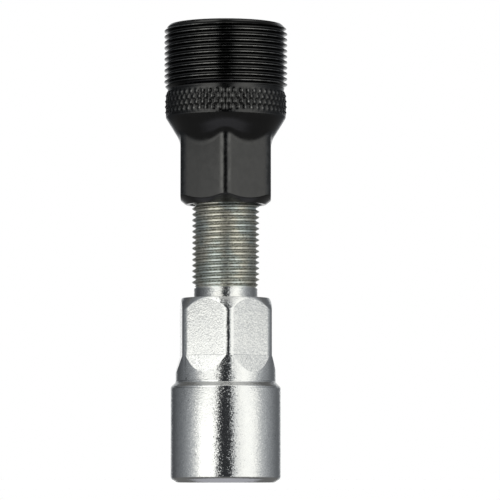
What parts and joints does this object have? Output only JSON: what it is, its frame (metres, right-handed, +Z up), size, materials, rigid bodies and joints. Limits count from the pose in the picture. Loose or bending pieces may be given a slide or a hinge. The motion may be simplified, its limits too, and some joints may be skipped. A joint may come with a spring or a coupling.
{
  "type": "bicycle pedal crank puller",
  "caption": "Crank puller: black threaded body with knurled band and hexagon, screwed on a zinc-plated spindle with hexagon, socket end and hidden swivel tip.",
  "frame": {"origin": "centre of the socket's rim, on the surface that the tool stands on", "axes": "+Z up along the spindle, towards the crank thread; -Y faces the camera"},
  "size_m": [0.0218, 0.0218, 0.0809],
  "materials": {
    "zinc_plate": "bright zinc plating, lightly pitted",
    "black_oxide": "black oxide, satin, oiled",
    "tip_steel": "turned, hardened steel",
    "bearing_steel": "polished"
  },
  "bodies": {
    "spindle": {"spindle": "zinc_plate"},
    "ball": {"thrust_ball": "bearing_steel"},
    "puller": {"puller_body": "black_oxide"},
    "tip": {"swivel_tip": "tip_steel"}
  },
  "joints": [
    {"name": "screw_turn", "type": "hinge", "parent": "spindle", "child": "ball", "pos_m": [0, 0, 0.07295], "axis": [0, 0, 1], "range_deg": [-5184, 324]},
    {"name": "screw_travel", "type": "slide", "parent": "ball", "child": "puller", "axis": [0, 0, 1], "range_m": [-0.01445, 0.00095]},
    {"name": "tip_swivel", "type": "hinge", "parent": "spindle", "child": "tip", "pos_m": [0, 0, 0.073], "axis": [0, 0, 1], "continuous": true}
  ],
  "couplings": [
    {"joint": "screw_travel", "follows": "screw_turn", "m_per_rad": 0.00015915}
  ]
}
